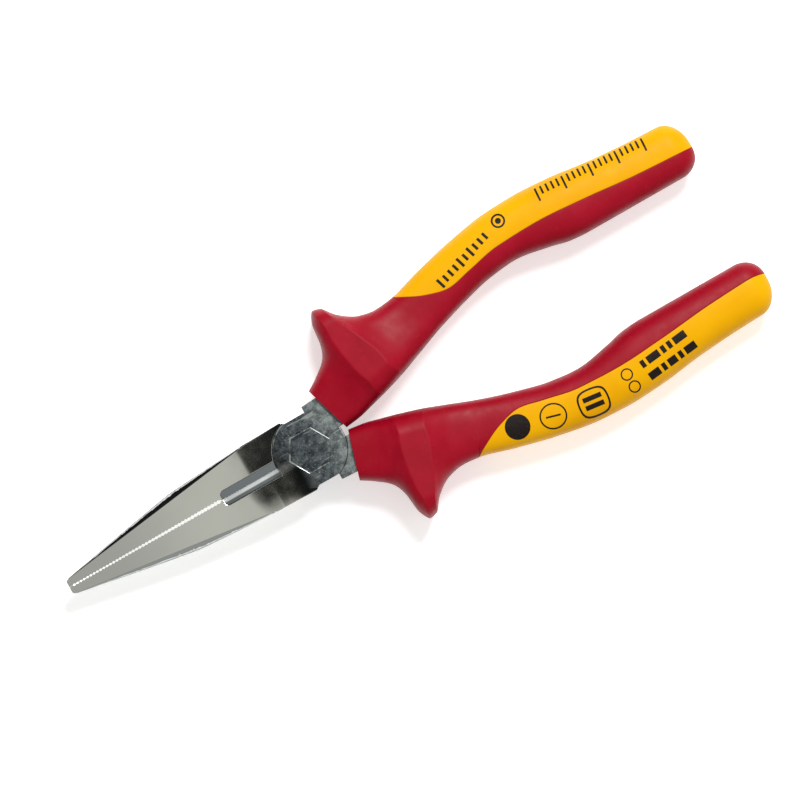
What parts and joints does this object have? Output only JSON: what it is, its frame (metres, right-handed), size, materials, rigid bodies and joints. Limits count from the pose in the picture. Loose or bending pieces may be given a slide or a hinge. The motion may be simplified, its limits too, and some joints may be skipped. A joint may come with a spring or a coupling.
{
  "type": "needle nose pliers",
  "caption": "Insulated long-nose pliers with side cutter: slim serrated jaws, lap joint on a hexagonal-headed rivet, two-colour handles with guards, stored closed.",
  "frame": {"origin": "on the pivot axis, in the back face of the joint", "axes": "+X from the pivot to the jaw tips, +Z out of the joint's front face (rivet head side), +Y towards the jaw of half A"},
  "size_m": [0.2008, 0.0636, 0.0208],
  "materials": {
    "jaw_steel": "polished plating, matt on the joint faces",
    "rivet_steel": "ground flush, matt",
    "yellow_insulation": "satin",
    "red_grip": "soft satin"
  },
  "bodies": {
    "half_a": {"half_a_forging": "jaw_steel", "pivot_rivet": "rivet_steel", "sleeve_a": "yellow_insulation", "grip_a": "red_grip"},
    "half_b": {"half_b_forging": "jaw_steel", "sleeve_b": "yellow_insulation", "grip_b": "red_grip"}
  },
  "joints": [
    {"name": "jaw_opening", "type": "hinge", "parent": "half_a", "child": "half_b", "pos_m": [0, 0, 0.005], "axis": [0, 0, -1], "range_deg": [0, 35]}
  ]
}
